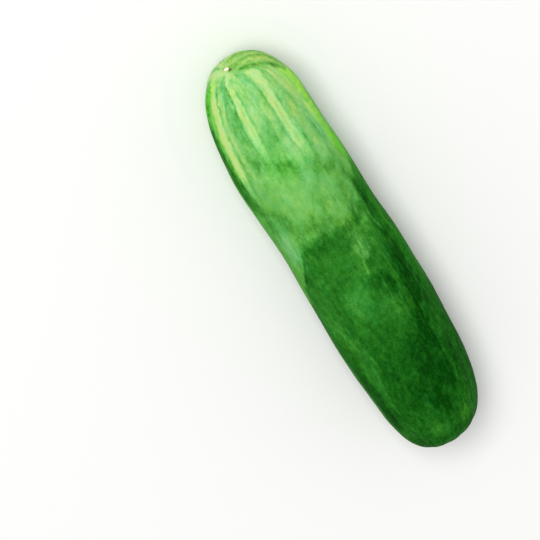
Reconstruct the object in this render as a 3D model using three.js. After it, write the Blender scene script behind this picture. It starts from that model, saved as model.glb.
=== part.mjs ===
// A ripe slicing cucumber, as picked, lying on its side: one solid fruit.
//
// The fruit lies along X with its blossom end at -X and its stem end at +X, in millimetres, +Z up.
// The origin is the middle of its outline seen from above, at the height of the surface it rests on.
//
// The skin is a ball whose points are moved out to the fruit's own form. A point has a station along the
// fruit, from -1 at the blossom tip to 1 at the stem tip, and an angle round it, in radians, which is 0 on
// top and grows towards -Y. From the form's centre line outwards, the skin is a blunt spindle with
//   - three faint lobes, one for each seed chamber inside,
//   - ten shallow furrows that run from tip to tip and deepen towards both ends,
//   - broad swells, and low bumps and hollows, because no fruit grows quite even,
//   - a puckered blossom end with the nub of its dried flower, and
//   - a dimpled stem end with the callus ring where the stalk came away.
import * as THREE from "three";

// Driving dimensions.
const LENGTH = 242;
const THICKNESS = 58;
const HALF_LENGTH = LENGTH / 2;
const RADIUS = THICKNESS / 2;

// The two ends: the outline is radius * (1 - |station| ^ taper) ^ (1 / bluntness).
const BLOSSOM_END = { taper: 4.95, bluntness: 2.08 };
const STEM_END = { taper: 5.64, bluntness: 2.86 };

// The waist: a slight narrowing just before the middle, on the blossom side.
const WAIST = { share: 0.0285, station: -0.158, width: 0.185 };

// The lobes of the three seed chambers.
const LOBES = { count: 3, share: 0.012, angle: 0.35 };

// The furrows, where the pale streaks lie: their depth at mid-length and towards the ends.
const FURROWS = { count: 10, angle: THREE.MathUtils.degToRad(12), middle: 0.22, ends: 0.95, sharpness: 3 };

// The swells: broad unevenness of the growing fruit.
const SWELL = 0.4;

// The bumps and, with a negative height, the hollows: the angle is in degrees and the reach is along the skin.
const BUMPS = [
  { station: -0.95, angle: 145, height: 3.6, reach: 22 },
  { station: -0.81, angle: -85, height: 1.1, reach: 9 },
  { station: -0.58, angle: -85, height: -0.7, reach: 18 },
  { station: 0.02, angle: -88, height: 0.6, reach: 16 },
  { station: 0.49, angle: -88, height: -0.6, reach: 16 },
  { station: -0.45, angle: 88, height: 0.6, reach: 16 },
  { station: -0.06, angle: 88, height: -0.8, reach: 16 },
  { station: 0.38, angle: 88, height: 0.6, reach: 14 },
  { station: 0.7, angle: 88, height: -0.7, reach: 14 },
];

// The centre line sways sideways, one way on the blossom half and the other way on the stem half, and it
// lifts at both tips, more at the blossom end.
const SWAY = 5.14;
const TIP_LIFT = { blossom: 2.65, stem: 1.6 };

// The blossom end: a pucker with the nub of the dried flower in it. The nub sits above and beside the tip:
// the skin is slid over the round end, most at the nub and not at all where the spindle's radius is reach.
const PUCKER = { depth: 1.2, reach: 6.5 };
const NUB = { height: 0.9, reach: 1.7 };
const NUB_SLIDE = { sideways: -4.36, up: 5.76, reach: 24 };

// The stem end: a dimple, and the callus ring of the broken stalk inside it.
const DIMPLE = { depth: 2.4, reach: 7.5 };
const CALLUS = { height: 0.9, radius: 4.2, width: 1.1 };

// The belly is pressed flat where the fruit lies on the surface.
const FLAT = 0.7;

// How finely the skin is divided, and how much of the division is drawn towards the tips.
const ROUND_STEPS = 80;
const LONG_STEPS = 60;
const TIP_CROWDING = 0.7;

// A bell: 1 at the middle, fading to nothing a few widths away.
function bell(distance, width) {
  return Math.exp(-((distance / width) ** 2));
}

// The radius that the spindle would have at a station without its ends.
function fullRadius(station) {
  return RADIUS * (1 - WAIST.share * bell(station - WAIST.station, WAIST.width));
}

// The radius of the plain spindle at a station.
function spindleRadius(station) {
  const end = station < 0 ? BLOSSOM_END : STEM_END;
  return fullRadius(station) * (1 - Math.abs(station) ** end.taper) ** (1 / end.bluntness);
}

// The other way round, for the blossom end: the station where the spindle has a share of its full radius.
function blossomStation(share) {
  return -((1 - Math.min(share, 1) ** BLOSSOM_END.bluntness) ** (1 / BLOSSOM_END.taper));
}

// How far the bumps and hollows raise the skin.
function bumpRelief(station, angle) {
  let raised = 0;
  for (const bump of BUMPS) {
    const turned = angle - THREE.MathUtils.degToRad(bump.angle);
    const around = RADIUS * (THREE.MathUtils.euclideanModulo(turned + Math.PI, 2 * Math.PI) - Math.PI);
    const along = HALF_LENGTH * (station - bump.station);
    raised += bump.height * bell(Math.hypot(along, around), bump.reach);
  }
  return raised;
}

// How far the skin stands out from the spindle: lobes, furrows, swells and bumps. All of them close up
// towards the tips, in step with the spindle's own radius.
function relief(station, angle) {
  const lobes = LOBES.share * RADIUS * Math.cos(LOBES.count * (angle - LOBES.angle));
  const across = (1 + Math.cos(FURROWS.count * (angle - FURROWS.angle))) / 2;
  const depth = FURROWS.middle + (FURROWS.ends - FURROWS.middle) * Math.abs(station) ** 3;
  const furrows = -depth * across ** FURROWS.sharpness;
  const swells = SWELL * Math.sin(7.5 * station + 0.8 * Math.cos(angle - 1)) * Math.cos(angle + 2 * station);
  return lobes + furrows + swells + bumpRelief(station, angle);
}

// How far the skin at a radius from the centre line is moved along X, at either end.
function endRelief(station, radius) {
  if (station < 0) return PUCKER.depth * bell(radius, PUCKER.reach) - NUB.height * bell(radius, NUB.reach);
  return CALLUS.height * bell(radius - CALLUS.radius, CALLUS.width) - DIMPLE.depth * bell(radius, DIMPLE.reach);
}

// The point of the skin at a station and angle, with the centre line's middle as its origin.
function skinPoint(station, angle) {
  const radius = spindleRadius(station);
  const slide = station < 0 ? Math.max(0, 1 - (radius / NUB_SLIDE.reach) ** 2) ** 2 : 0;
  const y = NUB_SLIDE.sideways * slide - radius * Math.sin(angle);
  const z = NUB_SLIDE.up * slide + radius * Math.cos(angle);
  const slid = slide > 0 ? blossomStation(Math.hypot(y, z) / fullRadius(station)) : station;
  const raised = (relief(station, angle) * radius) / RADIUS;
  const lift = (station < 0 ? TIP_LIFT.blossom : TIP_LIFT.stem) * slid ** 4;
  return new THREE.Vector3(
    HALF_LENGTH * slid + endRelief(station, radius),
    SWAY * (slid - slid ** 3) + y - raised * Math.sin(angle),
    lift + z + raised * Math.cos(angle),
  );
}

// The station of a share of the way from tip to tip. The shares crowd towards the tips, where the skin
// turns most.
function stationAt(share) {
  const crowded = share - (TIP_CROWDING * Math.sin(2 * Math.PI * share)) / (2 * Math.PI);
  return -Math.cos(Math.PI * crowded);
}

// Moves every point of a ball's skin out to the fruit. A ball's uv gives its share of the way round and
// of the way from pole to pole.
function fruitSkin() {
  const skin = new THREE.SphereGeometry(1, ROUND_STEPS, LONG_STEPS);
  const { position, uv } = skin.attributes;
  for (let i = 0; i < position.count; i++) {
    const point = skinPoint(stationAt(uv.getY(i)), Math.PI + 2 * Math.PI * uv.getX(i));
    position.setXYZ(i, point.x, point.y, point.z);
  }
  return skin;
}

// Presses the lowest skin up to a flat spot, then sets the fruit's footprint middle on the origin.
function layDown(skin) {
  skin.computeBoundingBox();
  const { min, max } = skin.boundingBox;
  const surface = min.z + FLAT;
  const { position } = skin.attributes;
  for (let i = 0; i < position.count; i++) position.setZ(i, Math.max(position.getZ(i), surface));
  skin.translate(-(min.x + max.x) / 2, -(min.y + max.y) / 2, -surface);
  skin.computeVertexNormals();
  return skin;
}

const waxySkin = new THREE.MeshStandardMaterial({ color: 0x2f7d2a, roughness: 0.42, metalness: 0 });
const fruit = new THREE.Mesh(layDown(fruitSkin()), waxySkin);
fruit.name = "cucumber";

const cucumber = new THREE.Group();
cucumber.add(fruit);

export default cucumber;
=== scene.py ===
# %% [markdown]
# A ripe slicing cucumber, as picked, lying on a pale floor.
#
# The fruit grew in one piece, so the whole object is one skin. The imported solid has its plain form, and
# this notebook makes the fine skin that stands for it: the form from the same formula, then the small
# relief, then the greens that growth and the sun gave it, with some painted light and shade among them.
# Lengths are in millimetres, and MM turns them into metres.

import bpy
import numpy as np
from mathutils import Matrix, Vector


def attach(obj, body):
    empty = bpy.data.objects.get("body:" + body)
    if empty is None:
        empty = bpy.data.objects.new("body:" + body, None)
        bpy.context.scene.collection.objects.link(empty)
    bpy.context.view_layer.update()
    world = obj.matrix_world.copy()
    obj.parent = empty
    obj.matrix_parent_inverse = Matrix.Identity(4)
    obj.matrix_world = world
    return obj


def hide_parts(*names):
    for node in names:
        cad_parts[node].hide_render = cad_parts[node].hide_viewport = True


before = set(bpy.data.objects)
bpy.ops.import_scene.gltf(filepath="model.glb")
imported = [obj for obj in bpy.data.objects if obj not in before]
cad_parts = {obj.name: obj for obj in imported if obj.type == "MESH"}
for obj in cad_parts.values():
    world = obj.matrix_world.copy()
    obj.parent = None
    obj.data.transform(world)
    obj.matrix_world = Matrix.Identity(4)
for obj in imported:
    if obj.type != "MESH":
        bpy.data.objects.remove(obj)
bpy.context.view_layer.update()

# %% [markdown]
# ## The camera
#
# The picture looks down on the fruit from beyond its blossom end, so the tip with the dried flower's nub
# shows. It has almost no perspective, which is what a long lens far away gives. In the picture the fruit
# runs down to the right. A camera is placed most simply by its own three directions: where its right, its
# up and its back point in the frame.

# %% Camera
MM = 0.001
# The picture is square. Its side is in pixels.
PICTURE_SIDE = 540
MM_PER_PIXEL = 0.5063
# How far the view leans from square to the fruit, and how steeply the fruit runs down the picture.
LEAN = np.radians(24)
FRUIT_SLANT = np.radians(59.89)
# The fruit's middle, in the frame and in the picture's pixels.
FRUIT_MIDDLE = np.array([0.28, -0.09, 27.92])
FRUIT_MIDDLE_PIXEL = (340.5, 247.1)
LENS_MM = 600
SENSOR_MM = 36

along_in_view = np.array([np.cos(LEAN), 0, np.sin(LEAN)])
across_in_view = np.array([0, -1, 0])
view_right = np.cos(FRUIT_SLANT) * along_in_view - np.sin(FRUIT_SLANT) * across_in_view
view_up = -np.sin(FRUIT_SLANT) * along_in_view - np.cos(FRUIT_SLANT) * across_in_view
view_back = np.cross(view_right, view_up)

pixels_right = FRUIT_MIDDLE_PIXEL[0] - PICTURE_SIDE / 2
pixels_up = PICTURE_SIDE / 2 - FRUIT_MIDDLE_PIXEL[1]
aim = FRUIT_MIDDLE - MM_PER_PIXEL * (pixels_right * view_right + pixels_up * view_up)
distance = PICTURE_SIDE * MM_PER_PIXEL * LENS_MM / SENSOR_MM

camera_data = bpy.data.cameras.new("camera")
camera_data.lens = LENS_MM
camera_data.sensor_width = SENSOR_MM
camera = bpy.data.objects.new("camera", camera_data)
bpy.context.scene.collection.objects.link(camera)
turn = Matrix(np.column_stack([view_right, view_up, view_back]).tolist()).to_4x4()
camera.matrix_world = Matrix.Translation(Vector((aim + distance * view_back) * MM)) @ turn
bpy.context.scene.camera = camera
print("camera", round(distance), "mm away")

# %% [markdown]
# ## The form of the fruit
#
# A cucumber is a blunt spindle. A sculpted mesh would do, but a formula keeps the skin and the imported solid
# in step: every point has a station along the fruit, from -1 at the blossom tip to 1 at the stem tip, and
# an angle round it, which is 0 on top and grows towards -Y. The values are those of the solid, and the skin
# only uses many more points.

# %% Form values
HALF_LENGTH = 121
RADIUS = 29
# The two ends, the waist and the lobes of the seed chambers
BLOSSOM_TAPER, BLOSSOM_BLUNTNESS = 4.95, 2.08
STEM_TAPER, STEM_BLUNTNESS = 5.64, 2.86
WAIST_SHARE, WAIST_STATION, WAIST_WIDTH = 0.0285, -0.158, 0.185
LOBE_COUNT, LOBE_SHARE, LOBE_ANGLE = 3, 0.012, 0.35
# The furrows, where the pale streaks lie, and the slow swells
FURROW_COUNT, FURROW_ANGLE, FURROW_SHARPNESS = 10, np.radians(12), 3
FURROW_MIDDLE, FURROW_ENDS = 0.22, 0.95
SWELL, SWELL_WAVES, SWELL_BEND, SWELL_TWIST = 0.4, 7.5, 0.8, 2
# The centre line's sway to the side and its lift at the tips
SWAY = 5.14
BLOSSOM_LIFT, STEM_LIFT = 2.65, 1.6
# The blossom end: its pucker, its nub, and how far the nub is slid from the tip
PUCKER_DEPTH, PUCKER_REACH = 1.2, 6.5
NUB_HEIGHT, NUB_REACH = 0.9, 1.7
NUB_SIDEWAYS, NUB_UP, SLIDE_REACH = -4.36, 5.76, 24
# The stem end: its dimple and the callus ring in it
DIMPLE_DEPTH, DIMPLE_REACH = 2.4, 7.5
CALLUS_HEIGHT, CALLUS_RADIUS, CALLUS_WIDTH = 0.9, 4.2, 1.1
# How far the lowest skin is pressed up, to lie flat
FLAT = 0.7
# Each bump or hollow: its station, its angle in degrees, its height and its reach.
BUMPS = [
    (-0.95, 145, 3.6, 22),
    (-0.81, -85, 1.1, 9),
    (-0.58, -85, -0.7, 18),
    (0.02, -88, 0.6, 16),
    (0.49, -88, -0.6, 16),
    (-0.45, 88, 0.6, 16),
    (-0.06, 88, -0.8, 16),
    (0.38, 88, 0.6, 14),
    (0.70, 88, -0.7, 14),
]
print("form", 2 * HALF_LENGTH, "mm long and", 2 * RADIUS, "mm thick, with", len(BUMPS), "bumps and hollows")

# %% [markdown]
# ## The formula
#
# The radius falls to nothing at both tips by two powers, one for how late the taper starts and one for how
# blunt the tip is. Cosines add what repeats round the fruit. Everything that stands alone is a bell, the
# plainest bump that has no edge.

# %% Form functions


def bell(distance, width):
    """1 at the middle, fading to nothing a few widths away: e to the minus square of distance over width."""
    return np.exp(-((distance / width) ** 2))


def skin_distance(station, angle, from_station, from_angle):
    """How many mm a point lies along the fruit and round it from another, with the angles in radians."""
    turned = (angle - from_angle + np.pi) % (2 * np.pi) - np.pi
    return HALF_LENGTH * (station - from_station), RADIUS * turned


def full_radius(station):
    """The radius that the spindle would have without its ends: a bell is taken off it at the waist."""
    return RADIUS * (1 - WAIST_SHARE * bell(station - WAIST_STATION, WAIST_WIDTH))


def spindle_radius(station):
    """Full radius times (1 - |station| ^ taper) ^ (1 / bluntness), with two values for each end."""
    taper = np.where(station < 0, BLOSSOM_TAPER, STEM_TAPER)
    bluntness = np.where(station < 0, BLOSSOM_BLUNTNESS, STEM_BLUNTNESS)
    return full_radius(station) * (1 - np.abs(station) ** taper) ** (1 / bluntness)


def blossom_station(share):
    """The other way round: the station at the blossom end where the spindle has a share of its radius."""
    return -((1 - np.minimum(share, 1) ** BLOSSOM_BLUNTNESS) ** (1 / BLOSSOM_TAPER))


def broad_relief(station, angle):
    """Three lobes as a cosine, less the furrows as a sharpened raised cosine, plus waves and the bumps."""
    lobes = LOBE_SHARE * RADIUS * np.cos(LOBE_COUNT * (angle - LOBE_ANGLE))
    depth = FURROW_MIDDLE + (FURROW_ENDS - FURROW_MIDDLE) * np.abs(station) ** 3
    across = (1 + np.cos(FURROW_COUNT * (angle - FURROW_ANGLE))) / 2
    swells = SWELL * np.sin(SWELL_WAVES * station + SWELL_BEND * np.cos(angle - 1))
    swells = swells * np.cos(angle + SWELL_TWIST * station)
    bumps = 0
    for bump_station, bump_angle, height, reach in BUMPS:
        away = np.hypot(*skin_distance(station, angle, bump_station, np.radians(bump_angle)))
        bumps = bumps + height * bell(away, reach)
    return lobes - depth * across**FURROW_SHARPNESS + swells + bumps


def end_relief(station, radius):
    """Bells in the distance from the centre line: pucker and nub, or dimple and callus ring."""
    blossom = PUCKER_DEPTH * bell(radius, PUCKER_REACH) - NUB_HEIGHT * bell(radius, NUB_REACH)
    callus = CALLUS_HEIGHT * bell(radius - CALLUS_RADIUS, CALLUS_WIDTH)
    return np.where(station < 0, blossom, callus - DIMPLE_DEPTH * bell(radius, DIMPLE_REACH))


print("spindle", round(2 * float(spindle_radius(0.0)), 1), "mm thick at mid-length")

# %% [markdown]
# ## The grid of points
#
# Rings of points run from tip to tip. A ball's own rings would crowd at the tips and be far apart in the
# middle, so here the rings stand at even steps of a walk over the skin, with shorter steps close to the
# tips, where the nub and the callus are.

# %% Grid
LONG_STEPS = 396
ROUND_STEPS = 240
WALK_POINTS = 4000
# How much closer the rings stand at the tips, and over what radius.
TIP_STEPS = 2.0
TIP_REACH = 9

walk_station = -np.cos(np.pi * np.linspace(0, 1, WALK_POINTS))
walk_radius = spindle_radius(walk_station)
walk = np.hypot(np.diff(HALF_LENGTH * walk_station), np.diff(walk_radius))
walk = walk * (1 + TIP_STEPS * bell(walk_radius[1:], TIP_REACH))
walked = np.concatenate([[0], np.cumsum(walk)])
ring_station = np.interp(np.linspace(0, walked[-1], LONG_STEPS + 1)[1:-1], walked, walk_station)
ring_angle = 2 * np.pi * np.arange(ROUND_STEPS) / ROUND_STEPS
station, angle = np.meshgrid(ring_station, ring_angle, indexing="ij")
degrees = (np.degrees(angle) + 180) % 360 - 180
tip_radius = spindle_radius(station)
grid_step = HALF_LENGTH * np.diff(ring_station).max()
print("grid", station.shape, "rings up to", round(grid_step, 2), "mm apart")

# %% [markdown]
# ## Noise and soft edges
#
# Growth leaves nothing quite even. Blurred random numbers give patches of any length and width, and layers
# of them are ragged both coarsely and finely. Each layer has a seed of its own, so every run gives the same
# fruit. A soft step turns a distance into the edge of a patch or a band.

# %% Noise and soft edges


def ring_noise(seed, along_mm, around_mm):
    """Random numbers on the grid, blurred to patches of a length and width, with a spread of 1.

    The numbers are split into waves, and each is weakened by a bell: e to the power -2 (a^2 + b^2), where
    a is its waves per mm along the fruit times the patches' length, and b the same round it with their width.
    """
    grains = np.random.default_rng(seed).standard_normal(station.shape)
    waves_along = np.fft.fftfreq(station.shape[0])[:, None] * along_mm / grid_step
    waves_around = np.fft.rfftfreq(ROUND_STEPS)[None, :] * around_mm / grid_step
    soft = np.exp(-2 * (waves_along**2 + waves_around**2))
    blurred = np.fft.irfft2(np.fft.rfft2(grains) * soft, s=station.shape)
    return blurred / blurred.std()


def layered(layers):
    """The sum of layers of noise, each a strength, a seed, and the length and width of its patches in mm."""
    return sum(strength * ring_noise(*patches) for strength, *patches in layers)


def smooth_step(value, low, high):
    """0 below low, 1 above high, and between them 3 t^2 - 2 t^3. With low above high it falls instead."""
    t = np.clip((value - low) / (high - low), 0, 1)
    return t * t * (3 - 2 * t)


print("soft step at the quarters", np.round(smooth_step(np.linspace(0, 1, 5), 0, 1), 2))

# %% [markdown]
# ## The skin's own small relief
#
# Close to, the skin isn't smooth. It has a few low warts where spines were, faint unevenness along its
# length, creases that gather at the blossom nub, and a torn, corky callus where the stalk came away. This
# could be bump only, but the outline and the shine show it, so the points are moved. A seeded draw scatters
# the warts.

# %% Small relief
WART_COUNT = 30
WART_HEIGHT = (0.06, 0.2)
WART_WIDTH = (1.6, 2.6)
WART_STATIONS = (-0.5, 0.85)
UNEVENNESS = [(0.05, 11, 26, 3.2), (0.02, 12, 5, 3)]
CREASE_HEIGHT, CREASE_RADIUS, CREASE_REACH = 0.2, 6.5, 4
CALLUS_FIBRES, CALLUS_ROUGHNESS = 26, 0.16
# The small relief fades out over this radius at the tips, where all angles meet.
CALM_RADIUS = 4

draw = np.random.default_rng(7)
small_relief = layered(UNEVENNESS)
for _ in range(WART_COUNT):
    away = np.hypot(*skin_distance(station, angle, draw.uniform(*WART_STATIONS), draw.uniform(0, 2 * np.pi)))
    small_relief = small_relief + draw.uniform(*WART_HEIGHT) * bell(away, draw.uniform(*WART_WIDTH))
creases = CREASE_HEIGHT * np.cos(2 * FURROW_COUNT * angle) * bell(tip_radius - CREASE_RADIUS, CREASE_REACH)
torn = CALLUS_ROUGHNESS * np.cos(CALLUS_FIBRES * angle + 1.5 * np.sin(5 * angle))
torn = torn * bell(tip_radius - CALLUS_RADIUS, 2 * CALLUS_WIDTH)
small_relief = small_relief + np.where(station < 0, creases, torn)
small_relief = small_relief * np.minimum(1, tip_radius / CALM_RADIUS)
print("small relief", np.round([small_relief.min(), small_relief.max()], 2), "mm")

# %% [markdown]
# ## From formula to points
#
# The flower sat a little above and beside the very tip. Moving only the nub would crease the skin, so the
# whole round end is slid over itself. The belly is pressed flat where the fruit lies, and the plain form's
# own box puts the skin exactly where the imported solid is.

# %% Skin points


def skin_points(station, angle, small):
    """The spindle's radius turned by the angle, plus relief, on a centre line that sways and lifts.

    Near the nub the skin is slid over the round end: points move up and sideways by (1 - (r / reach)^2)^2 of
    the nub's own slide, and their station is read back from the distance to the centre line that they get.
    """
    radius = spindle_radius(station)
    slide = np.where(station < 0, np.clip(1 - (radius / SLIDE_REACH) ** 2, 0, 1) ** 2, 0)
    y = NUB_SIDEWAYS * slide - radius * np.sin(angle)
    z = NUB_UP * slide + radius * np.cos(angle)
    slid = np.where(slide > 0, blossom_station(np.hypot(y, z) / full_radius(station)), station)
    raised = broad_relief(station, angle) * radius / RADIUS + small
    x = HALF_LENGTH * slid + end_relief(station, radius)
    y = SWAY * (slid - slid**3) + y - raised * np.sin(angle)
    z = np.where(station < 0, BLOSSOM_LIFT, STEM_LIFT) * slid**4 + z + raised * np.cos(angle)
    return np.column_stack([x.ravel(), y.ravel(), z.ravel()])


tips = skin_points(np.array([-1.0, 1.0]), np.zeros(2), 0)
plain = np.concatenate([skin_points(station, angle, 0), tips])
middle = (plain.min(axis=0) + plain.max(axis=0)) / 2
surface = plain[:, 2].min() + FLAT
points = np.concatenate([skin_points(station, angle, small_relief), tips])
points[:, 2] = np.maximum(points[:, 2], surface)
points -= [middle[0], middle[1], surface]
print("middle", np.round(middle, 2), "surface", round(surface, 2))

# %% [markdown]
# ## From points to mesh
#
# The rings are joined by four-sided faces and closed by a fan at each tip. The faces are worked out as
# whole arrays of point numbers, and from_pydata takes them as lists.

# %% Skin mesh
rings = np.arange(station.size).reshape(station.shape)
ahead = np.roll(rings, -1, axis=1)
quads = np.stack([rings[:-1], rings[1:], ahead[1:], ahead[:-1]], axis=-1).reshape(-1, 4)
blossom_fan = np.column_stack([rings[0], ahead[0], np.full(ROUND_STEPS, rings.size)])
stem_fan = np.column_stack([ahead[-1], rings[-1], np.full(ROUND_STEPS, rings.size + 1)])

skin_mesh = bpy.data.meshes.new("cucumber_skin")
faces = quads.tolist() + blossom_fan.tolist() + stem_fan.tolist()
skin_mesh.from_pydata((points * MM).tolist(), [], faces)
skin_mesh.polygons.foreach_set("use_smooth", np.ones(len(faces), bool))
skin_mesh.update()
skin = bpy.data.objects.new("cucumber_skin", skin_mesh)
bpy.context.scene.collection.objects.link(skin)
print("skin", len(points), "points,", 2 * len(quads) + 2 * ROUND_STEPS, "triangles")

# %% [markdown]
# ## How green the skin is
#
# A cucumber's colours are one pigment at different strengths: cream where a streak has hardly any, then
# light green, then the deep green of the shoulder. So the mesh carries one number for it, 0 for cream and 1
# for the deepest green, and the material turns that number into a colour. Some patches and lines further on
# also paint light and shade into this number. The blossom half is pale, and the deep half starts at a ragged
# line just before mid-length.

# %% Pale and deep halves
PALE_STATION = [-1, -0.9, -0.75, -0.62, -0.45, -0.35, -0.2]
PALE_GREEN = [0.3, 0.35, 0.36, 0.4, 0.46, 0.52, 0.61]
DEEP_STATION = [-0.2, 0.2, 0.32, 0.45, 0.7, 0.85, 1.0]
DEEP_GREEN = [0.79, 0.805, 0.85, 0.895, 0.925, 0.85, 0.88]
# Where the deep green starts: angles in degrees with the stations there.
DEEP_EDGE = [
    (-180, -0.1), (-130, -0.25), (-85, -0.35), (-70, -0.34), (-58, -0.29), (-50, -0.21), (-44, -0.165),
    (-30, -0.17), (-10, -0.185), (8, -0.19), (30, -0.185), (36, -0.16), (41, -0.13), (45, -0.09),
    (48, -0.075), (53, -0.04), (60, 0.01), (70, 0.08), (85, 0.15), (130, 0.0),
]
EDGE_NOISE = [(0.006, 21, 5, 2.4), (0.012, 22, 9, 8), (0.005, 23, 3, 1.2)]
EDGE_WIDTH = 0.034
# High on the +Y side the edge is softer: fully so within 16 degrees of this angle, and not beyond 32.
SOFT_EDGE_WIDTH = 0.09
SOFT_EDGE_ANGLE = -68
SOFT_EDGE_REACH = (32, 16)

pale = np.interp(station, PALE_STATION, PALE_GREEN)
deep = np.interp(station, DEEP_STATION, DEEP_GREEN)
edge = np.interp(degrees, *np.transpose(DEEP_EDGE), period=360)
softness = smooth_step(np.abs(degrees - SOFT_EDGE_ANGLE), *SOFT_EDGE_REACH)
edge_width = EDGE_WIDTH + (SOFT_EDGE_WIDTH - EDGE_WIDTH) * softness
is_deep = smooth_step(station - edge + layered(EDGE_NOISE), -edge_width, edge_width)
green = pale + (deep - pale) * is_deep
print("deep green on", round(100 * is_deep.mean()), "% of the grid")

# %% [markdown]
# ## Patches
#
# Sun and shade as the fruit grew, and leaves that lay on it, left softer patches. A few of the patches are
# painted light and shade instead: painted highlights, and on the deep half painted shade and light across its
# sides. Each is an ellipse on the skin with a ragged rim, and makes the skin a little greener or paler. The
# first ones are on the side seen in the picture, and a seeded draw adds some on the side turned away.

# %% Patches
# Each patch: station, angle in degrees, half its length and width in mm, and how much greener it is.
PATCHES = [
    # Round the tip
    (-0.975, 60, 4, 6, 0.14),
    (-0.93, 39, 9, 3, 0.12),
    (-0.895, 31, 4, 2.6, -0.2),
    (-0.935, 78, 5, 4, -0.26),
    (-0.93, -2, 8, 6, -0.07),
    (-0.85, -43, 9, 5, -0.08),
    (-0.955, -75, 5, 5, -0.12),
    (-0.87, -65, 8, 4, -0.09),
    (-0.98, -48, 3, 7, 0.1),
    # Between the streaks
    (-0.8, 33, 20, 3, 0.09),
    (-0.77, 38, 7, 2, 0.06),
    # A painted highlight between two streaks
    (-0.79, 4, 9, 4.5, -0.14),
    (-0.81, -12, 6, 3, -0.09),
    (-0.74, -11, 6, 4, -0.09),
    (-0.805, 28, 5, 3, 0.1),
    (-0.72, 26, 6, 2.5, 0.1),
    (-0.755, -3, 3, 2.5, 0.12),
    (-0.61, 40, 6, 4, -0.1),
    (-0.7, 2, 9, 4, 0.11),
    (-0.72, -34.5, 14, 3.5, -0.08),
    (-0.74, 48, 7, 3, -0.1),
    (-0.86, 51, 5, 3, -0.12),
    (-0.81, 74, 5, 3.5, -0.1),
    (-0.6, -13, 7, 5, -0.25),
    (-0.48, -11, 8, 4, -0.1),
    (-0.51, 41, 6, 3.5, -0.1),
    (-0.62, 30, 10, 4, 0.08),
    (-0.565, 10, 4.5, 12, 0.07),
    (-0.545, 25, 4, 3, -0.07),
    (-0.48, 4, 6, 6, 0.05),
    (-0.47, 35, 5, 4, 0.07),
    (-0.52, 53, 5, 3, 0.08),
    (-0.63, -42, 12, 5, -0.05),
    (-0.51, -41, 7, 5, -0.15),
    (-0.5, -60, 5, 4, -0.09),
    (-0.65, -61, 6, 3, -0.08),
    (-0.59, -53, 9, 4, 0.1),
    (-0.48, -27, 9, 5, 0.07),
    (-0.45, 24, 6, 5, -0.05),
    (-0.43, -38, 5, 5, 0.12),
    # The wide pale field
    (-0.38, 10, 16, 12, -0.07),
    (-0.345, -37, 7, 2.6, 0.03),
    (-0.35, -62, 6, 4, -0.1),
    (-0.245, -19, 6, 5, -0.1),
    (-0.2, 19, 4, 4, -0.1),
    (-0.18, -9, 4, 4, -0.09),
    (-0.275, -40, 5, 3, 0.07),
    (-0.38, -27, 8, 5, -0.06),
    (-0.25, -44, 8, 4, -0.06),
    (-0.235, 20, 8, 7, 0.05),
    (-0.31, 38, 8, 5, 0.1),
    (-0.2, 46, 14, 5, -0.12),
    (-0.185, 57, 7, 5, -0.13),
    (-0.28, 54, 5, 5, 0.08),
    (-0.1, 57, 8, 4, -0.07),
    (0.0, 51, 6, 4, 0.07),
    (-0.36, 55, 6, 6, 0.08),
    # The flank turned down: painted shade on the -Y side
    (-0.84, 94, 14, 6, 0.1),
    (-0.56, 92, 30, 9, 0.1),
    # On the deep half. Just past its edge, the paler patches at -20 to -8 degrees are a painted highlight.
    # From station 0.05 on, the greener patches at -55 to -16 degrees are painted shade on the +Y side.
    (-0.13, 18, 4, 9, 0.06),
    (-0.16, -22, 3, 7, 0.08),
    (-0.19, -38, 5, 4, 0.1),
    (-0.22, 7, 6, 5, 0.09),
    (-0.15, -40, 7, 2.5, -0.08),
    (-0.07, -29, 4, 3, 0.07),
    (-0.09, -20, 9, 4.4, -0.1),
    (-0.03, -17.5, 6, 2.4, -0.02),
    (0.03, -18, 3.5, 2.2, 0.07),
    (-0.07, -39, 10, 6, -0.11),
    (-0.01, -8, 8, 4, -0.1),
    (0.15, -20, 9, 5.5, 0.13),
    (0.05, -55, 24, 6, 0.08),
    (0.13, -45, 28, 7, 0.08),
    (0.45, -27, 30, 5, 0.04),
    (0.15, 11, 13, 6.5, -0.07),
    (0.23, -45, 12, 4, 0.1),
    (0.44, -35, 14, 4, 0.08),
    (0.27, -15, 14, 5, -0.06),
    (0.24, 58, 14, 5, -0.07),
    # Painted light low on the -Y side: these two paler patches
    (0.5, 45, 26, 4.5, -0.11),
    (0.62, 83, 34, 6, -0.14),
    (0.72, 58, 16, 4, 0.04),
    (0.6, -16, 32, 8, 0.05),
    (0.72, -19, 5, 3, -0.07),
    (0.54, -7, 8, 4, 0.06),
    (0.85, 10, 4, 4, -0.06),
    (0.76, -8, 7, 4, 0.06),
    # A painted highlight near the stem end
    (0.88, 4, 4, 8, -0.04),
    (0.87, -32, 5, 6, -0.06),
    (0.925, 12, 2.5, 9, 0.05),
    (0.955, -5, 2.5, 10, -0.06),
    (0.93, 48, 4, 5, 0.05),
]
# Where a patch is gone and where it is full, as shares of its size.
PATCH_FADE = (1.35, 0.45)
RIM_NOISE = [(0.16, 31, 4, 2.4), (0.12, 32, 12, 1.2)]
# The hidden patches: how many, and the ranges of their half lengths, stations, angles, widths as shares of
# their lengths, and how much greener they are.
HIDDEN_COUNT = 18
HIDDEN_SIZE, HIDDEN_STATION, HIDDEN_ANGLE = (7, 18), (-0.8, 0.85), (105, 262)
HIDDEN_WIDTH, HIDDEN_GREENER = (0.3, 0.6), (-0.08, 0.07)

rim = layered(RIM_NOISE)


def ellipse(from_station, from_angle, half_length, half_width, fade):
    """1 in a ragged ellipse and 0 outside it: a soft step in hypot(along / length, around / width) + rim."""
    along, around = skin_distance(station, angle, from_station, np.radians(from_angle))
    return smooth_step(np.hypot(along / half_length, around / half_width) + rim, *fade)


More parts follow.
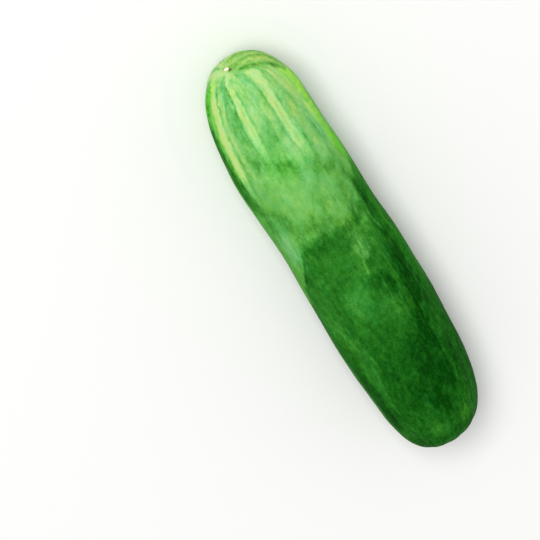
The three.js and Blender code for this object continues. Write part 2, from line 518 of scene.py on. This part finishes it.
patches = list(PATCHES)
for _ in range(HIDDEN_COUNT):
    size = draw.uniform(*HIDDEN_SIZE)
    middle_on_skin = (draw.uniform(*HIDDEN_STATION), draw.uniform(*HIDDEN_ANGLE))
    half_width = size * draw.uniform(*HIDDEN_WIDTH)
    patches.append((*middle_on_skin, size, half_width, draw.uniform(*HIDDEN_GREENER)))
for *outline, greener in patches:
    green = green + greener * ellipse(*outline, PATCH_FADE)
print(len(patches), "patches, green now", np.round([green.min(), green.max()], 2))

# %% [markdown]
# ## Bands, stripes and hairlines
#
# Then come single lines: soft dark bands that cross the pale half, dark stripes low on the sides, the
# first of them partly painted shade, and hairlines, the light ones painted highlights. Each follows a course
# of stations and angles, and fades at both ends.

# %% Single lines
# Each line: its stations, its angles in degrees there, half its width in mm, and how much greener it is.
LINES = [
    # Soft dark bands and rims on the pale half
    ((-0.63, -0.585, -0.56, -0.53, -0.48), (34, 22, 8, -2, -12), 5.5, 0.11),
    ((-0.59, -0.56, -0.52), (18, 6, -6), 2, 0.06),
    ((-0.51, -0.46, -0.42), (-22, -30, -34), 1.6, 0.07),
    ((-0.385, -0.34, -0.28), (-4, 0, 8), 0.5, 0.1),
    ((-0.48, -0.44, -0.4), (-19, -21, -16.5), 0.6, 0.1),
    ((-0.43, -0.37, -0.3, -0.2, -0.1), (-49, -52, -55.5, -60, -63), 2.6, 0.12),
    ((-0.15, -0.1, -0.065, -0.02, 0.03), (39, 44.5, 48.5, 54, 61), 0.8, 0.13),
    # Dark stripes between the pale streaks of the flanks and the belly
    # The first is partly a darker band between streaks and partly painted shade on the -Y flank
    ((-0.78, -0.68, -0.56, -0.44, -0.37), (88, 82, 74, 69, 69), 6, 0.32),
    ((-0.85, -0.6, -0.4), (141, 141, 141), 3.5, 0.16),
    ((-0.8, -0.6, -0.35), (176, 176, 176), 4, 0.14),
    ((-0.85, -0.6, -0.4), (212, 212, 212), 3.5, 0.16),
    ((-0.8, -0.6, -0.35), (244, 244, 244), 3.5, 0.14),
    # Darker lines beside the streaks
    ((-0.9, -0.82, -0.7), (-14, -14.5, -15.5), 0.45, 0.12),
    ((-0.87, -0.8, -0.75), (15.5, 14.5, 12.5), 0.45, 0.13),
    # Hairlines; the light ones are painted highlights
    ((-0.15, -0.11, -0.05), (-50.5, -51, -53.5), 0.5, -0.24),
    ((-0.13, -0.1, -0.04), (-44, -45, -47), 0.5, -0.1),
    ((-0.16, -0.1, -0.04, 0.0), (-27, -23, -19.5, -18.5), 1.4, -0.08),
    ((-0.12, -0.04, 0.0), (-17, -15.5, -16.5), 0.5, 0.08),
    ((-0.1, -0.05, 0.0), (-26.5, -23, -19.5), 0.4, -0.1),
    ((-0.04, 0.05), (-70, -71), 0.5, -0.14),
    ((-0.01, 0.02, 0.07), (-14, -12, -9), 0.6, -0.12),
    ((0.11, 0.17, 0.23), (-19.5, -18, -16), 0.5, -0.11),
    ((0.2, 0.3, 0.42), (-27, -25, -22), 0.5, -0.07),
    ((0.33, 0.45), (37, 35), 0.5, -0.09),
    ((0.5, 0.6), (-58, -55), 0.5, -0.06),
    ((0.62, 0.72), (-41, -37), 0.5, -0.08),
    ((0.74, 0.82), (-50, -44), 0.5, -0.08),
    ((0.76, 0.84), (44, 38), 0.6, -0.07),
]
# How far past its ends a wide line fades, in stations, and where a line is gone and full, in half widths.
LINE_END = 0.07
LINE_FADE = (1.7, 0.3)
LINE_RAGGED = 0.6
WAVER = [(0.35, 35, 12, 5)]

waver = layered(WAVER)
for stations, angles, half_width, greener in LINES:
    course = np.radians(np.interp(station, stations, angles))
    around = np.abs(skin_distance(station, angle, 0, course)[1] + waver)
    end = LINE_END * min(1, half_width / 2)
    ends = smooth_step(station, stations[0] - end, stations[0] + end)
    ends = ends * smooth_step(station, stations[-1] + end, stations[-1] - end)
    green = green + greener * ends * smooth_step(around / half_width + LINE_RAGGED * rim, *LINE_FADE)
print(len(LINES), "lines, green now", np.round([green.min(), green.max()], 2))

# %% [markdown]
# ## Fibres and mottling
#
# The skin stretches lengthwise as it grows, which draws every unevenness of colour out into fibres. Blurred
# random numbers, much longer than wide, give them, and rounder ones give the mottling between. Blots, spots
# with one soft and one sharper side, come where a noise passes a threshold.

# %% Fibres and mottling
FIBRE_GREEN, MOTTLE_GREEN, BLOT_GREEN = 0.022, 0.036, 0.04
BLOT_RISE, BLOT_FALL = (0.7, 1.3), (0.8, 1.5)
FIBRES = [(0.6, 41, 12, 1.2), (0.5, 42, 30, 2), (0.5, 43, 5, 0.8)]
MOTTLE = [(0.8, 44, 2.6, 2), (0.6, 45, 7, 4), (0.4, 46, 16, 8)]
# How lively the grain is: most on the blossom third, least on the deep half.
LIVELY, LIVELIER_BLOSSOM, CALMER_DEEP = 0.58, 0.4, 0.02
LIVELY_STATIONS = (-0.4, -0.6)

lively = LIVELY + LIVELIER_BLOSSOM * smooth_step(station, *LIVELY_STATIONS) - CALMER_DEEP * is_deep
fibres_and_mottle = lively * (FIBRE_GREEN * layered(FIBRES) + MOTTLE_GREEN * layered(MOTTLE))
blots = smooth_step(ring_noise(47, 7, 3), *BLOT_RISE) - smooth_step(ring_noise(48, 9, 2.6), *BLOT_FALL)
green = green + fibres_and_mottle + BLOT_GREEN * lively * blots
print("fibres and mottling change the green by", round(fibres_and_mottle.std(), 3))

# %% [markdown]
# ## The olive cap
#
# Beside the nub lies a cap of olive green that the streaks go round. It has faint rings, is paler low down,
# and its upper edge is drawn by a darker line. So close to the tip, stations and angles are awkward, so
# places are told there by how far they are above and beside the tip.

# %% Cap
CAP_UP, CAP_SIDE, CAP_RADIUS, CAP_RAGGED = -3, -12, 12.6, 0.7
CAP_RING_UP, CAP_RING_SPACING, CAP_RING_BEND = 0.3, 6.2, 0.6
CAP_GREENER, CAP_RING_GREENER = 0.06, 0.1
# The stretches over which the cap turns paler downwards and greener upwards, and by how much.
CAP_LOW, CAP_LOW_PALER = (-5, -12), 0.22
CAP_HIGH, CAP_HIGH_GREENER = (3.5, 7), 0.03
# Its dark edge, and the stretches upwards and sideways over which that starts to show.
CAP_EDGE_INSET, CAP_EDGE_WIDTH, CAP_EDGE_GREENER = 1.5, 1.8, 0.08
CAP_EDGE_UP, CAP_EDGE_SIDE = (-8, 0), (-19, -13)

is_blossom = station < 0
up, side = tip_radius * np.cos(angle), tip_radius * np.sin(angle)
from_cap = np.hypot(up - CAP_UP, side - CAP_SIDE) + CAP_RAGGED * ring_noise(61, 3, 3)
cap = smooth_step(from_cap, CAP_RADIUS + 1, CAP_RADIUS - 1) * is_blossom
ring_phase = 2 * np.pi * (up - CAP_RING_UP) / CAP_RING_SPACING + CAP_RING_BEND * ring_noise(63, 5, 9)
cap_shade = CAP_GREENER + CAP_RING_GREENER * np.cos(ring_phase) - CAP_LOW_PALER * smooth_step(up, *CAP_LOW)
cap_shade = cap_shade + CAP_HIGH_GREENER * smooth_step(up, *CAP_HIGH)
cap_edge = bell(from_cap - CAP_RADIUS + CAP_EDGE_INSET, CAP_EDGE_WIDTH) * is_blossom
cap_edge = cap_edge * smooth_step(up, *CAP_EDGE_UP) * smooth_step(side, *CAP_EDGE_SIDE)
cap_edge = cap_edge * np.clip(0.4 + 0.7 * ring_noise(64, 4, 6), 0, 1.2)
green = green + cap_shade * cap + CAP_EDGE_GREENER * cap_edge
print("cap on", int((cap > 0.5).sum()), "points")

# %% [markdown]
# ## Streaks
#
# Ten pale streaks lie along the furrows of the blossom half. Each starts at the nub, has its own width and
# length, and is edged by a thin line of darker green. Some hardly show, and fainter ones lie between them.

# %% Streaks
# The stations at which the courses of the streaks are given.
COURSE_STATION = (-1, -0.97, -0.95, -0.92, -0.87, -0.8, -0.65, -0.5)
# Each streak: its angles in degrees at those stations, half its width in mm, the stations where it starts
# and fades, and how pale it is. The ones with one angle run straight, and below 0 it is a greener line.
STREAKS = [
    ((-36, -36, -34, -28.5, -23.5, -22, -22.5, -24), 3.1, -0.972, -0.55, 0.36),
    ((42, 30, 24.5, 22.5, 20, 17.5, 16.5, 17), 2.0, -1, -0.63, 0.34),
    ((120, 97, 84, 74, 64.5, 60, 56, 56), 3.2, -1, -0.5, 0.48),
    ((80, 66, 57, 53, 49.5, 47, 43, 42), 1.5, -0.985, -0.62, 0.16),
    ((88, 76, 65, 59, 55.5, 53, 50.5, 50), 0.5, -0.97, -0.6, -0.13),
    ((52, 38, 32, 31, 27.5, 24.5, 23, 23), 0.6, -0.97, -0.8, -0.12),
    ((14, 12, 10, 8, 7, 6, 5, 5), 3.2, -1, -0.84, 0.08),
    ((-20, -12, -10, -8, -7, -6, -6, -6), 1.1, -0.98, -0.62, 0.05),
    ((-60, -55, -50, -46, -44, -42, -40, -40), 1.1, -0.93, -0.6, 0.05),
    ((-75, -72, -67, -59, -53.5, -53, -58, -61), 3.2, -0.96, -0.55, 0.2),
    ((160, 150, 130, 112, 100, 96, 94, 94), 1.8, -1, -0.8, 0.14),
    (124, 2.8, -1, -0.5, 0.26),
    (158, 2.0, -1, -0.62, 0.2),
    (194, 3.2, -1, -0.46, 0.28),
    (230, 2.2, -1, -0.6, 0.18),
    (258, 2.6, -1, -0.5, 0.2),
]
# Over how many stations a streak starts and fades, and where it is gone and full across, in half widths.
STREAK_START, STREAK_FADE = 0.008, 0.12
STREAK_EDGE = (1.5, 0.5)
# What is left of its width at the tip and at its faded end, and how much of it the cap hides.
TIP_WIDTH, END_WIDTH = 0.45, 0.6
CAP_HIDES = 0.85
# The darker line along it: its place in half widths, its width in mm, how much greener it is, and the
# paleness of a streak that has it whole.
BORDER_PLACE, BORDER_WIDTH, BORDER_GREENER, BORDER_PALENESS = 1.45, 0.6, 0.1, 0.25
# The paleness at which a streak is quite creamy, how much fibres thin it, and how ragged they make its end.
CREAMY_PALENESS, THIN_SPREAD, END_RAGGED = 0.3, 0.22, 0.04
WANDER = [(0.4, 51, 20, 6), (0.22, 54, 3.5, 2)]

wander = layered(WANDER)
thin = 1 + THIN_SPREAD * ring_noise(52, 14, 0.9)
broken = np.clip(0.7 + ring_noise(53, 9, 4), 0, 1.6)
creamy = np.zeros(station.shape)
for angles, half_width, start, end, paler in STREAKS:
    course = np.radians(np.interp(station, COURSE_STATION, np.broadcast_to(angles, len(COURSE_STATION))))
    around = np.abs(skin_distance(station, angle, 0, course)[1] * tip_radius / RADIUS + wander)
    fade = smooth_step(station + END_RAGGED * (thin - 1), end + STREAK_FADE, end - STREAK_FADE)
    width = half_width * np.minimum(1, TIP_WIDTH + (1 - TIP_WIDTH) * tip_radius / RADIUS)
    width = width * (END_WIDTH + (1 - END_WIDTH) * fade)
    fade = fade * smooth_step(station, start - STREAK_START, start + STREAK_START) * (1 - CAP_HIDES * cap)
    body = smooth_step(around / width, *STREAK_EDGE) * fade * thin
    border = bell(around - BORDER_PLACE * width, BORDER_WIDTH) * fade * broken
    green = green - paler * body + BORDER_GREENER * np.clip(paler / BORDER_PALENESS, 0, 1) * border
    creamy = np.maximum(creamy, paler / CREAMY_PALENESS * body)
print(len(STREAKS), "streaks, creamy on", round(100 * (creamy > 0.5).mean(), 1), "% of the grid")

# %% [markdown]
# ## Nub, blemishes and callus
#
# The dried flower left a nub of straw with dark ends, and the skin is creamy round it. A few tiny blemishes
# are as dark as its ends, so both go into one mark, and the corky callus at the other end gets a mark too.
# The material lays the colours of these marks over the green.

# %% Nub, blemishes and callus
# Each cream spot: how far above and beside the tip, its radius in mm, and how much paler it is.
CREAM_SPOTS = [(3.6, 2.4, 3, 0.2), (-8.5, 2.5, 5, 0.13), (-1, 6, 4.5, 0.2)]
STRAW_UP, STRAW_SIDE, STRAW_SLANT = -0.8, 0.7, np.radians(147)
STRAW_HALF_LENGTH, STRAW_HALF_WIDTH, STRAW_EDGE = 1.7, 0.75, (1.2, 0.8)
# The dark ends: their place in half lengths, their length and width in mm, and how dark each is.
DARK_PLACE, DARK_LENGTH, DARK_WIDTH = 1.35, 0.9, 1.1
DARK_STRENGTHS = (1, 0.4)
# Each blemish: station, angle in degrees, radius in mm and strength.
BLEMISHES = [
    (-0.895, -66, 1.5, 0.5),
    (0.33, -57, 1.2, 0.4),
    (-0.33, -38, 1.6, 0.25),
    (0.1, 150, 1.5, 0.5),
    (-0.4, 215, 1.3, 0.4),
]
# The radii between which the callus ends.
CORK_EDGE = (6.2, 5)

for spot_up, spot_side, radius, paler in CREAM_SPOTS:
    green = green - paler * bell(np.hypot(up - spot_up, side - spot_side), radius) * is_blossom
straw_along = (up - STRAW_UP) * np.cos(STRAW_SLANT) + (side - STRAW_SIDE) * np.sin(STRAW_SLANT)
straw_across = (side - STRAW_SIDE) * np.cos(STRAW_SLANT) - (up - STRAW_UP) * np.sin(STRAW_SLANT)
from_straw = np.hypot(straw_along / STRAW_HALF_LENGTH, straw_across / STRAW_HALF_WIDTH)
nub = smooth_step(from_straw, *STRAW_EDGE) * is_blossom
from_end = np.abs(straw_along) - DARK_PLACE * STRAW_HALF_LENGTH
scar = bell(np.hypot(from_end / DARK_LENGTH, straw_across / DARK_WIDTH), 1)
scar = scar * np.where(straw_along < 0, *DARK_STRENGTHS) * is_blossom
for spot_station, spot_angle, radius, strength in BLEMISHES:
    away = np.hypot(*skin_distance(station, angle, spot_station, np.radians(spot_angle)))
    scar = np.maximum(scar, strength * bell(away, radius))
cork = smooth_step(tip_radius + 0.4 * ring_noise(62, 1, 1), *CORK_EDGE) * (station > 0)
print("points of nub, scar and cork", [int((spots > 0.5).sum()) for spots in (nub, scar, cork)])

# %% [markdown]
# ## The flanks
#
# Low on its sides the pale half changes. On the +Y side it is lime, crossed by fine strokes, with a darker
# band under it. On the -Y side, near the tip, short dark strokes run across the skin. Noise that is wide
# round the fruit and narrow along it makes both kinds of stroke.

# %% Flanks
# The lime flank: stations, with its angle in degrees and half its width in mm there.
FLANK_STATION = (-0.92, -0.84, -0.75, -0.65, -0.5, -0.35)
FLANK_ANGLE = (-80, -77, -73, -71, -70, -70)
FLANK_WIDTH = (8, 7.5, 5.5, 4.5, 4, 4)
# The stations over which it comes in, how much paler it is, and how uneven its strokes make it.
FLANK_FADE, FLANK_PALER, STROKE_SPREAD = (-0.3, -0.7), 0.25, 0.22
# The band under it: where it starts and ends, in mm from the middle of the flank.
BAND_START, BAND_END = (-5, -8), (-16, -12)
BAND_GREENER = 0.25
# The short dark strokes: their middle in degrees and their reach in mm round the fruit, the stations where
# they start and end, and how much greener they are, on the whole and by the noise.
HATCH_ANGLE, HATCH_REACH = 93, 6
HATCH_START, HATCH_END = (-0.99, -0.95), (-0.66, -0.76)
HATCH_GREENER, HATCH_SPREAD = 0.05, 0.09

flank_reach = smooth_step(station, *FLANK_FADE) * (1 - cap)
flank_angle = np.interp(station, FLANK_STATION, FLANK_ANGLE)
flank_mm = RADIUS * np.radians((degrees - flank_angle + 180) % 360 - 180)
strokes = 1 + STROKE_SPREAD * ring_noise(65, 0.9, 4)
flank = bell(flank_mm, np.interp(station, FLANK_STATION, FLANK_WIDTH)) * flank_reach * strokes
flank = np.clip(flank, 0, 1.3)
band = smooth_step(flank_mm, *BAND_START) * smooth_step(flank_mm, *BAND_END) * flank_reach
hatching = bell(RADIUS * np.radians(degrees - HATCH_ANGLE), HATCH_REACH) * is_blossom
hatching = hatching * smooth_step(station, *HATCH_START) * smooth_step(station, *HATCH_END)
hatching = hatching * (HATCH_GREENER + HATCH_SPREAD * np.clip(ring_noise(66, 0.8, 5), -1, 2))
green = green - FLANK_PALER * flank + BAND_GREENER * band + hatching
print("green", np.round([green.min(), green.mean(), green.max()], 2))

# %% [markdown]
# ## Hue
#
# Hue is a tint over the pigment: a factor each for red, green and blue. The flank is lime, the cap olive,
# the skin between the streaks near the tip a little bluer, and soft patches lean one way or the other. A
# share of a tint is its factors to the power of that share, so that shares of several tints can be
# multiplied in any order.

# %% Tint
LIME = (0.86, 1.14, 0.42)
OLIVE = (1.22, 1.0, 0.85)
GRASS = (0.84, 1.06, 0.55)
BLUER = (0.86, 1.0, 1.25)
WARM = (1.2, 0.97, 0.9)
DUSTY = (1.14, 0.97, 1.2)
CREAM = (1.02, 1.02, 1.0)
MINT = (0.86, 1.06, 1.05)
PURE = (0.93, 1.06, 0.94)
# Each patch of hue: station, angle in degrees, half its length and width in mm, its factors and share.
HUES = [
    (-0.93, 40, 10, 6, BLUER, 0.5),
    (-0.94, -14, 6, 5, BLUER, 0.35),
    (-0.82, 62, 10, 2, WARM, 0.8),
    (-0.65, 58, 9, 2, WARM, 0.5),
    (-0.86, 92, 14, 7, GRASS, 1.0),
    (-0.58, 82, 36, 10, GRASS, 1.0),
    (-0.72, 42, 14, 4, OLIVE, 0.4),
    (-0.46, -71, 9, 5, LIME, 0.7),
    (-0.58, -53, 10, 4, BLUER, 0.7),
    (-0.55, 8, 14, 13, GRASS, 0.2),
    (-0.55, 4, 6, 10, PURE, 0.8),
    (-0.6, -13, 8, 6, BLUER, 0.6),
    (-0.84, -3, 6, 4, BLUER, 0.5),
    (-0.16, 48, 18, 6, BLUER, 0.9),
    (-0.185, 57, 8, 5, DUSTY, 1.0),
    (-0.07, -19, 10, 4.5, DUSTY, 1.0),
    (-0.25, -15, 12, 14, OLIVE, 0.4),
    (0.15, 12, 14, 7, BLUER, 0.7),
    (0.1, -73, 7, 4, GRASS, 0.8),
    (0.15, -84, 60, 13, GRASS, 0.7),
    (0.5, 80, 45, 12, GRASS, 0.6),
    (0.87, -30, 9, 8, OLIVE, 0.6),
]
HUE_FADE = (1.5, 0.4)
HUE_NOISE = [(0.24, 71, 12, 5), (0.2, 72, 4, 3)]
# How much bluer the skin is between the streaks, and the stations over which that comes in.
BETWEEN_BLUER, BETWEEN_STATIONS = 0.3, (-0.6, -0.85)
# The streaks turn from cream to mint over these stations, but not the ones low on the -Y side.
MINT_STATIONS, MINT_LAST_ANGLE = (-0.82, -0.62), 40

between = np.clip(1 - creamy, 0, 1) * smooth_step(station, *BETWEEN_STATIONS) * (1 - flank) * (1 - cap)
streak_ends = np.clip(creamy, 0, 1) * smooth_step(station, *MINT_STATIONS) * (degrees < MINT_LAST_ANGLE)
shares = [
    (LIME, flank),
    (OLIVE, cap),
    (BLUER, BETWEEN_BLUER * between),
    (CREAM, creamy),
    (BLUER, layered(HUE_NOISE)),
    (MINT, streak_ends),
    (PURE, is_deep),
]
for *outline, factors, share in HUES:
    shares.append((factors, share * ellipse(*outline, HUE_FADE)))
tint = np.ones((*station.shape, 3))
for factors, share in shares:
    tint = tint * np.array(factors) ** share[..., None]
print("tint from", np.round(tint.min(axis=(0, 1)), 2), "to", np.round(tint.max(axis=(0, 1)), 2))

# %% [markdown]
# ## From numbers to marks on the mesh
#
# A material can read numbers that are stored on a mesh's points, called attributes. They move with the skin
# and need no image. Each grid of numbers above becomes one, under a name that the material uses.

# %% Marks on the mesh
# How strong the finest grain is: at least, where the skin is lively, and on the cap.
GRAIN_LEAST, GRAIN_LIVELY, GRAIN_CAP = 0.2, 0.6, 0.2


def add_mark(name, grid, kind="FLOAT"):
    """Stores a grid of numbers on the skin's points under a name; a tip gets the mean of its ring."""
    rows = grid.reshape(station.size, -1)
    tips = [ring.reshape(ROUND_STEPS, -1).mean(axis=0) for ring in (grid[0], grid[-1])]
    values = np.concatenate([rows, tips]).astype(np.float32)
    field = "value" if kind == "FLOAT" else "vector"
    skin_mesh.attributes.new(name, kind, "POINT").data.foreach_set(field, values.ravel())


add_mark("green", np.clip(green, 0, 1))
add_mark("grain", GRAIN_LIVELY * lively + GRAIN_LEAST + GRAIN_CAP * cap)
add_mark("tint", tint, "FLOAT_VECTOR")
add_mark("nub", nub)
add_mark("cork", cork)
add_mark("scar", scar)
print("marks", [mark.name for mark in skin_mesh.attributes if not mark.is_internal])

# %% [markdown]
# ## Tools for the material
#
# Colours are given as people pick them, in sRGB hex, but Blender reckons in linear light, so one function
# undoes the sRGB curve. Another adds a node with its settings and links in one call.

# %% Material tools


def linear(hex_colour):
    """An sRGB hex colour as linear red, green, blue and alpha: the sRGB curve undone for each channel."""
    srgb = np.array([int(hex_colour[i : i + 2], 16) for i in (1, 3, 5)]) / 255
    low, high = srgb / 12.92, ((srgb + 0.055) / 1.055) ** 2.4
    return (*np.where(srgb <= 0.04045, low, high), 1.0)


def add(tree, kind, inputs=(), **settings):
    """Adds a node of a kind, sets its settings, and gives each input a value or a link."""
    made = tree.nodes.new(kind)
    for name, value in settings.items():
        setattr(made, name, value)
    for name, value in dict(inputs).items():
        if isinstance(value, bpy.types.NodeSocket):
            tree.links.new(value, made.inputs[name])
        else:
            made.inputs[name].default_value = value
    return made


print("mid grey in linear light", np.round(linear("#808080")[0], 3))

# %% [markdown]
# ## The skin's colour and shine
#
# Cucumber skin is green cells under a thin wax that the fruit grew itself. To the eye that is a clear green
# with a soft, wide shine. The number for how green it is goes through a ramp of colours, and fine noise
# from the frame's own coordinates, stretched along the fruit, adds what is finer than the mesh.

# %% Waxy skin
waxy_skin = bpy.data.materials.new("waxy_cucumber_skin")
waxy_skin.use_nodes = True
tree = waxy_skin.node_tree
tree.nodes.clear()
place = add(tree, "ShaderNodeTexCoord").outputs["Object"]


def mark(name, output="Fac"):
    """The socket of one of the skin's marks."""
    return add(tree, "ShaderNodeAttribute", attribute_name=name).outputs[output]


def noise(size_mm, stretch=1.0, detail=3.0):
    """Noise whose patches are about size_mm across and stretch times as long along the fruit."""
    scale = 1 / (size_mm * MM)
    seen = add(tree, "ShaderNodeMapping", {"Vector": place, "Scale": (scale / stretch, scale, scale)})
    inputs = {"Vector": seen.outputs[0], "Scale": 1.0, "Detail": detail}
    return add(tree, "ShaderNodeTexNoise", inputs).outputs["Fac"]


def reckon(operation, a, b, c=0.0):
    """One step of arithmetic on two or three sockets or numbers."""
    return add(tree, "ShaderNodeMath", {0: a, 1: b, 2: c}, operation=operation).outputs[0]


def mixed(share, a, b, blend="MIX"):
    """Colour a where share is 0, and where it is 1 colour b, or the two blended another way."""
    inputs = {"Factor": share, 6: a, 7: b}
    return add(tree, "ShaderNodeMix", inputs, data_type="RGBA", blend_type=blend).outputs[2]


print("material", waxy_skin.name, "begun")

# %% [markdown]
# ## Pigment
#
# The ramp's colours go from cream to the deepest green at the shares of green where they are reached. A
# layer of grain is noise about its middle, times a strength. Single cells are some hundredths of a
# millimetre wide, too fine to show, so the finest grain is drawn at 0.7 mm. The straw, the cork and the
# scars lie over the green.

# %% Pigment
# The skin's colours, each with its share of green.
GREENS = [
    (0.0, "#B3D586"),
    (0.1, "#A4CF7B"),
    (0.2, "#94CA71"),
    (0.3, "#82C269"),
    (0.4, "#72B95E"),
    (0.5, "#64AF52"),
    (0.58, "#57A343"),
    (0.66, "#478F35"),
    (0.74, "#337B27"),
    (0.82, "#25691D"),
    (0.9, "#175713"),
    (1.0, "#073C07"),
]
NUB_STRAW = "#FBF6DF"
CORK = "#B7A97C"
SCAR = "#45491E"
# Each layer of grain: its size in mm, how many times as long as wide it is, and its strength.
GRAINS = [(0.7, 6, 0.12), (0.95, 1.2, 0.42), (2.2, 1.4, 0.24)]

grain = 0.0
for size_mm, stretch, strength in GRAINS:
    grain = reckon("MULTIPLY_ADD", reckon("SUBTRACT", noise(size_mm, stretch), 0.5), strength, grain)
pigment = reckon("MULTIPLY_ADD", grain, mark("grain"), mark("green"))
ramp = add(tree, "ShaderNodeValToRGB", {"Fac": pigment})
while len(ramp.color_ramp.elements) < len(GREENS):
    ramp.color_ramp.elements.new(0.5)
for element, (share, colour) in zip(ramp.color_ramp.elements, GREENS):
    element.position = share
    element.color = linear(colour)
skin_colour = mixed(1.0, ramp.outputs["Color"], mark("tint", "Vector"), "MULTIPLY")
for name, colour in (("scar", SCAR), ("nub", NUB_STRAW), ("cork", CORK)):
    skin_colour = mixed(mark(name), skin_colour, linear(colour))
print("ramp of", len(ramp.color_ramp.elements), "greens")

# %% [markdown]
# ## Wax
#
# Plant wax bends light by about 1.42. Its bloom scatters most of the shine, and the picture shows no
# highlight, so the roughness is middling and uneven and the specular level very low. The bump is the grain
# of the skin's cells and fibres, a tenth of a millimetre high at most and drawn coarser than life to show.

# %% Wax
WAX_IOR = 1.42
WAX_SPECULAR = 0.01
ROUGHNESS_LEAST, ROUGHNESS_SPREAD = 0.45, 0.14
BUMP_MM, BUMP_STRENGTH = 0.1, 0.3

height = reckon("MULTIPLY_ADD", noise(1.4, 7), 0.6, noise(0.5))
bump = add(tree, "ShaderNodeBump", {"Height": height, "Strength": BUMP_STRENGTH, "Distance": BUMP_MM * MM})
shader_inputs = {
    "Base Color": skin_colour,
    "Roughness": reckon("MULTIPLY_ADD", noise(5, 3), ROUGHNESS_SPREAD, ROUGHNESS_LEAST),
    "IOR": WAX_IOR,
    "Specular IOR Level": WAX_SPECULAR,
    "Normal": bump.outputs[0],
}
shader = add(tree, "ShaderNodeBsdfPrincipled", shader_inputs)
add(tree, "ShaderNodeOutputMaterial", {"Surface": shader.outputs[0]})
skin_mesh.materials.append(waxy_skin)
print("material", waxy_skin.name, len(tree.nodes), "nodes")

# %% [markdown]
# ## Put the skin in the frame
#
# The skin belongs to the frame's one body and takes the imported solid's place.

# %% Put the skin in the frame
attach(skin, "root")
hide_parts("cucumber")
print("skin rides on root")

# %% [markdown]
# ## Floor
#
# A plain pale floor, wide enough to fill every view and matt, so that nothing is mirrored in it. It lies a
# hair below the belly, because two faces in one plane would flicker. Floor and lights are big, so they are
# in metres.

# %% Floor
FLOOR_REACH = 8.0
FLOOR_DROP = 0.0001
FLOOR_COLOUR, FLOOR_ROUGHNESS = "#F2F2F0", 0.9

floor_mesh = bpy.data.meshes.new("floor")
corners = [(x * FLOOR_REACH, y * FLOOR_REACH, 0) for x, y in ((-1, -1), (1, -1), (1, 1), (-1, 1))]
floor_mesh.from_pydata(corners, [], [(0, 1, 2, 3)])
floor = bpy.data.objects.new("floor", floor_mesh)
floor.location.z = -FLOOR_DROP
bpy.context.scene.collection.objects.link(floor)
matt_floor = bpy.data.materials.new("matt_floor")
matt_floor.use_nodes = True
matt_floor.node_tree.nodes["Principled BSDF"].inputs["Base Color"].default_value = linear(FLOOR_COLOUR)
matt_floor.node_tree.nodes["Principled BSDF"].inputs["Roughness"].default_value = FLOOR_ROUGHNESS
floor_mesh.materials.append(matt_floor)
print("floor", 2 * FLOOR_REACH, "m wide")

# %% [markdown]
# ## Light
#
# One large soft light stands beyond the blossom end, and a pale room gives as much again. A light's power
# comes from how bright it makes a white floor, which is easier to think about than watts. 1 is just white.

# %% Light
KEY_BRIGHTNESS = 0.58
ROOM_BRIGHTNESS = 0.58


def soft_light(name, towards, distance, size, brightness):
    """A square light in a direction from the fruit, facing it.

    Its power is brightness * (pi * distance)^2 / the upward part of its direction.
    """
    towards = Vector(towards).normalized()
    data = bpy.data.lights.new(name, "AREA")
    data.size = size
    data.energy = brightness * (np.pi * distance) ** 2 / towards.z
    light = bpy.data.objects.new(name, data)
    light.location = towards * distance
    light.rotation_mode = "QUATERNION"
    light.rotation_quaternion = towards.to_track_quat("Z", "Y")
    light.visible_camera = False
    bpy.context.scene.collection.objects.link(light)
    return light


key = soft_light("key", towards=(-0.75, -0.2, 1.4), distance=4, size=1.8, brightness=KEY_BRIGHTNESS)

world = bpy.data.worlds.new("room")
world.use_nodes = True
world.node_tree.nodes["Background"].inputs["Color"].default_value = (1, 1, 1, 1)
world.node_tree.nodes["Background"].inputs["Strength"].default_value = ROOM_BRIGHTNESS
bpy.context.scene.world = world
bpy.context.scene.view_settings.view_transform = "Standard"
print("light", key.name, round(key.data.energy, 1), "W")
